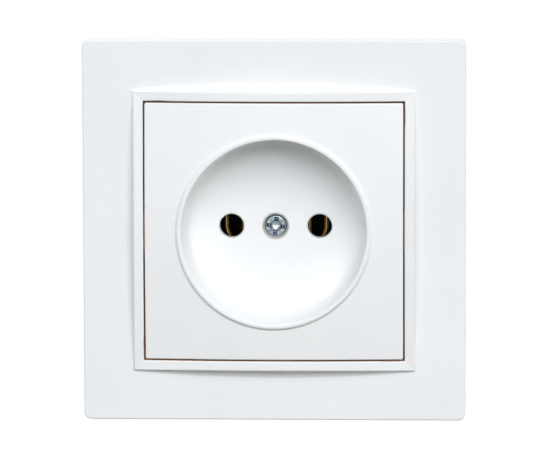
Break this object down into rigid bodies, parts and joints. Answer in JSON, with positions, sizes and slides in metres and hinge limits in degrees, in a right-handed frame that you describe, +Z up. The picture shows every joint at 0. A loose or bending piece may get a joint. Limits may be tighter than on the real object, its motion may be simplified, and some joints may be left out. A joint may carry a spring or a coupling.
{
  "type": "unearthed wall socket",
  "caption": "Square flush-mounted wall socket without earth contacts: raised ring, round recessed well, pin holes, central screw and claw-fixed insert behind.",
  "frame": {"origin": "centre of the wall plane, on the axis of the round well", "axes": "+Z up, +Y into the wall, -Y towards the user, X along the line through the pin holes"},
  "size_m": [0.082, 0.0357, 0.082],
  "materials": {
    "white_plastic": "satin",
    "dark_plastic": "matte",
    "zinc_steel": "zinc plated",
    "spring_steel": "satin",
    "brass": "satin"
  },
  "bodies": {
    "socket": {"outer_frame": "white_plastic", "cover_plate": "white_plastic", "cover_screw": "zinc_steel", "threaded_bush": "brass", "mounting_plate": "zinc_steel", "base_rivets": "zinc_steel", "socket_base": "dark_plastic", "back_cap": "dark_plastic", "back_cap_screws": "zinc_steel", "contact_left": "brass", "contact_spring_left": "spring_steel", "terminal_block_left": "brass", "terminal_screw_left": "zinc_steel", "contact_right": "brass", "contact_spring_right": "spring_steel", "terminal_block_right": "brass", "terminal_screw_right": "zinc_steel"},
    "claw_left": {"claw_left": "zinc_steel", "claw_screw_left": "zinc_steel"},
    "claw_right": {"claw_right": "zinc_steel", "claw_screw_right": "zinc_steel"}
  },
  "joints": [
    {"name": "claw_left_swing", "type": "hinge", "parent": "socket", "child": "claw_left", "pos_m": [-0.0234, -0.00278, 0], "axis": [0, 0, 1], "range_deg": [0, 15]},
    {"name": "claw_right_swing", "type": "hinge", "parent": "socket", "child": "claw_right", "pos_m": [0.0234, -0.00278, 0], "axis": [0, 0, -1], "range_deg": [0, 15]}
  ]
}
